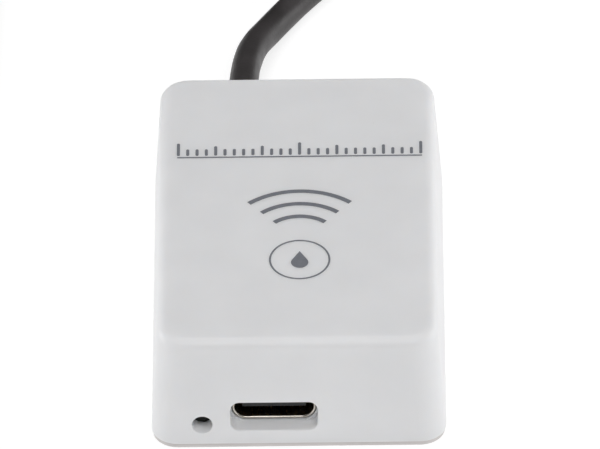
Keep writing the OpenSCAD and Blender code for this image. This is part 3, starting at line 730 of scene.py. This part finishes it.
# ---------------------------------------------------------------- base cover
# Flat moulded cover in a slightly warmer, duller white. Its rim shows as a thin line under
# the shell, and four countersunk screws hold it and the board to the shell's posts.
painted(surface(
    "cover_abs", shade=(0.66, 0.63, 0.62), tint=(0.72, 0.69, 0.68), patch_mm=6,
    gloss=(0.45, 0.58), grain_mm=0.2, grain_deep_mm=0.010, worn=(0.74, 0.70, 0.69), worn_mm=0.15),
    "base_cover")
painted(surface(
    "zinc_plate", shade=(0.50, 0.50, 0.49), tint=(0.66, 0.66, 0.64), patch_mm=1.2,
    gloss=(0.22, 0.40), grain_mm=0.09, grain_deep_mm=0.006, worn=(0.80, 0.79, 0.76),
    worn_mm=0.06, metal=1.0), "cover_screws")


# ---------------------------------------------------------------- USB-C socket
# Deep-drawn steel shell, bright nickel plated, with a rolled front lip and four tabs that
# are soldered into the board. The black tongue inside carries the gold contacts.
SHELL_WALL = 0.3
TAB_WIDE, TAB_CORNER = 1.1, 0.25
TAB_ALONG = (1.6, 5.8)
LIP_STEPS = 8
socket_front, socket_back = usb_low.y, usb_high.y
outside, inside = SHELL_HIGH / 2, SHELL_HIGH / 2 - SHELL_WALL
lip_angles = [math.pi * step / LIP_STEPS for step in range(LIP_STEPS + 1)]
lip = [(inside + SHELL_WALL / 2 * (1 + math.cos(angle)),
        socket_front + SHELL_WALL / 2 * (1 - math.sin(angle))) for angle in lip_angles]
socket_form = swung([(outside, socket_back), (outside, socket_back - 3), *lip,
                     (inside, socket_front + 3), (inside, socket_back - 0.04)],
                    port_middle, half_flat=usb_flat, steps=64, hollow=True)
tabs = []
for side in (-1, 1):
    for along in TAB_ALONG:
        tab = bmesh.new()
        corners = bmesh.ops.create_cube(tab, size=1)["verts"]
        bmesh.ops.scale(tab, vec=(SHELL_WALL, TAB_WIDE, port_middle[1] - usb_low.z),
                        verts=corners)
        feet = [edge for edge in tab.edges if edge.verts[0].co.z < 0 and edge.verts[1].co.z < 0
                and abs(edge.verts[0].co.x - edge.verts[1].co.x) > SHELL_WALL / 2]
        bmesh.ops.bevel(tab, geom=feet, offset=TAB_CORNER, segments=3, profile=0.5,
                        affect="EDGES", material=-1)
        bmesh.ops.translate(tab, verts=tab.verts, vec=(
            port_middle[0] + side * (usb_flat + outside - SHELL_WALL / 2), socket_front + along,
            (port_middle[1] + usb_low.z) / 2))
        bmesh.ops.recalc_face_normals(tab, faces=tab.faces)
        tabs.append(tab)
socket_form = carved(socket_form, tabs, "socket", operation="UNION")
bright_nickel = surface(
    "bright_nickel", shade=(0.52, 0.48, 0.43), tint=(0.64, 0.60, 0.54), patch_mm=1.5,
    gloss=(0.14, 0.26), grain_mm=0.12, grain_deep_mm=0.002, worn=(0.84, 0.82, 0.78),
    worn_mm=0.08, metal=1.0)
usb_socket = made("usb_socket", socket_form, bright_nickel, sharp=40)
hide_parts("usb_shell")
black_nylon = surface(
    "black_nylon", shade=(0.012, 0.012, 0.012), tint=(0.020, 0.020, 0.020), patch_mm=1.5,
    gloss=(0.38, 0.50), grain_mm=0.08, grain_deep_mm=0.006, worn=(0.05, 0.05, 0.05), worn_mm=0.05)
painted(black_nylon, "usb_tongue")
contact_gold = surface(
    "contact_gold", shade=(0.78, 0.50, 0.17), tint=(0.90, 0.62, 0.26), patch_mm=0.5,
    gloss=(0.18, 0.30), grain_mm=0.05, grain_deep_mm=0.002, worn=(0.93, 0.72, 0.40),
    worn_mm=0.03, metal=1.0)
painted(contact_gold, "usb_contacts", "header_pins")


# ---------------------------------------------------------------- reset switch
# Low side-push switch behind the pinhole: nylon body and plunger, and a steel snap dome,
# cover and terminals stamped from strip.
painted(black_nylon, "reset_switch_body")
painted(surface(
    "charcoal_nylon", shade=(0.070, 0.070, 0.070), tint=(0.095, 0.095, 0.095), patch_mm=0.5,
    gloss=(0.45, 0.58), grain_mm=0.06, grain_deep_mm=0.004, worn=(0.16, 0.16, 0.16), worn_mm=0.04),
    "reset_plunger")
painted(surface(
    "strip_steel", shade=(0.50, 0.50, 0.50), tint=(0.66, 0.66, 0.65), patch_mm=0.8,
    gloss=(0.20, 0.34), grain_mm=0.05, grain_deep_mm=0.002, worn=(0.80, 0.80, 0.79),
    worn_mm=0.04, metal=1.0), "switch_dome", "switch_cover", "switch_terminals")


# ---------------------------------------------------------------- main board
# Glass-epoxy board under black solder mask, with the small parts that are soldered to its
# top: a moulded regulator, ceramic capacitors and resistors with tinned ends, and an LED.
painted(glass_board, "main_board")
painted(chip_resin, "voltage_regulator", "chip_resistors")
painted(fired_ceramic, "chip_capacitors")
painted(surface(
    "solder_tin", shade=(0.52, 0.53, 0.54), tint=(0.70, 0.71, 0.72), patch_mm=0.4,
    gloss=(0.25, 0.42), grain_mm=0.06, grain_deep_mm=0.006, worn=(0.82, 0.82, 0.83),
    worn_mm=0.03, metal=1.0), "regulator_leads", "capacitor_ends", "resistor_ends")
led_glass = surface(
    "led_resin", shade=(0.72, 0.70, 0.52), tint=(0.82, 0.80, 0.62), patch_mm=0.5,
    gloss=(0.12, 0.22), grain_mm=0.08, grain_deep_mm=0.002, worn=(0.90, 0.88, 0.75), worn_mm=0.03)
led_glass.node_tree.nodes["Principled BSDF"].inputs["Transmission Weight"].default_value = 0.35
painted(led_glass, "status_led")


# ---------------------------------------------------------------- radio module
# A bought-in module soldered to the board: its own black board, a drawn tin can over the
# chips, and a copper meander as the antenna.
painted(surface(
    "module_mask", shade=(0.010, 0.011, 0.013), tint=(0.018, 0.019, 0.022), patch_mm=1.2,
    gloss=(0.28, 0.40), grain_mm=0.2, grain_deep_mm=0.006, worn=(0.25, 0.20, 0.10), worn_mm=0.06),
    "radio_board")
painted(surface(
    "tinned_can", shade=(0.55, 0.56, 0.57), tint=(0.68, 0.69, 0.70), patch_mm=2.5,
    gloss=(0.24, 0.38), grain_mm=0.15, grain_deep_mm=0.004, worn=(0.80, 0.80, 0.80),
    worn_mm=0.1, metal=1.0), "radio_can")
painted(surface(
    "etched_copper", shade=(0.72, 0.36, 0.20), tint=(0.86, 0.48, 0.28), patch_mm=0.8,
    gloss=(0.25, 0.40), grain_mm=0.08, grain_deep_mm=0.003, worn=(0.92, 0.60, 0.38),
    worn_mm=0.03, metal=1.0), "radio_antenna")


# ---------------------------------------------------------------- wiring
# The lead's four tinned wires end in a crimped plug in an ivory nylon header. A nylon
# strap round the jacket keeps a pull on the lead away from them.
ivory_nylon = surface(
    "ivory_nylon", shade=(0.66, 0.62, 0.52), tint=(0.74, 0.70, 0.60), patch_mm=2,
    gloss=(0.35, 0.48), grain_mm=0.12, grain_deep_mm=0.006, worn=(0.82, 0.79, 0.70), worn_mm=0.08)
painted(ivory_nylon, "wire_header", "wire_plug")
painted(surface(
    "clear_nylon", shade=(0.70, 0.70, 0.68), tint=(0.78, 0.78, 0.76), patch_mm=2,
    gloss=(0.28, 0.40), grain_mm=0.15, grain_deep_mm=0.006, worn=(0.86, 0.86, 0.85), worn_mm=0.08),
    "strain_tie")
wire_shades = {"wire_red": (0.48, 0.020, 0.018), "wire_black": (0.016, 0.016, 0.016),
               "wire_yellow": (0.66, 0.47, 0.030), "wire_white": (0.72, 0.72, 0.70)}
for wire, wire_shade in wire_shades.items():
    darker = tuple(0.85 * part for part in wire_shade)
    painted(surface(
        wire + "_pvc", shade=darker, tint=wire_shade, patch_mm=1.5,
        gloss=(0.32, 0.45), grain_mm=0.15, grain_deep_mm=0.004), wire)
painted(lead_curve.materials[0], "jacket_end")


# ---------------------------------------------------------------- table and light
# A white paper sweep, bright enough to burn out to plain white. A low softbox stands a
# little behind each side of the case, one hangs over its front and one over its back.
SWEEP_HALF_WIDE = 3
sweep_mesh = bpy.data.meshes.new("sweep")
sweep_form = bmesh.new()
bmesh.ops.create_grid(sweep_form, x_segments=1, y_segments=1, size=SWEEP_HALF_WIDE)
sweep_form.to_mesh(sweep_mesh)
sweep_form.free()
sweep = link("sweep", sweep_mesh)
sweep_paint = bpy.data.materials.new("sweep_white")
sweep_paint.use_nodes = True
sweep_shader = sweep_paint.node_tree.nodes["Principled BSDF"]
sweep_shader.inputs["Base Color"].default_value = (0.36, 0.36, 0.36, 1)
sweep_shader.inputs["Roughness"].default_value = 0.9
sweep_shader.inputs["Specular IOR Level"].default_value = 0.1
sweep_shader.inputs["Emission Color"].default_value = (1, 1, 1, 1)
sweep_shader.inputs["Emission Strength"].default_value = 0.77
sweep_mesh.materials.append(sweep_paint)


def softbox(name, place, width, height, power):
    """A rectangular lamp that faces the case."""
    lamp = bpy.data.lights.new(name, "AREA")
    lamp.shape = "RECTANGLE"
    lamp.size, lamp.size_y = width, height
    lamp.energy = power
    holder = bpy.data.objects.new(name, lamp)
    facing = (-Vector(place)).to_track_quat("-Z", "Y").to_matrix().to_4x4()
    holder.matrix_world = Matrix.Translation(place) @ facing
    bpy.context.scene.collection.objects.link(holder)


softbox("left_softbox", (-0.95, 0.30, 0.17), 0.8, 0.28, 3.3)
softbox("right_softbox", (0.95, 0.30, 0.17), 0.8, 0.28, 3.1)
softbox("front_softbox", (0.12, -0.62, 1.03), 0.7, 0.5, 5.8)
softbox("top_softbox", (0.0, 0.25, 1.25), 0.7, 0.5, 4.6)
world = bpy.data.worlds.new("studio")
world.use_nodes = True
world.node_tree.nodes["Background"].inputs["Color"].default_value = (1, 1, 1, 1)
world.node_tree.nodes["Background"].inputs["Strength"].default_value = 0.10
bpy.context.scene.world = world
bpy.context.scene.view_settings.view_transform = "Standard"
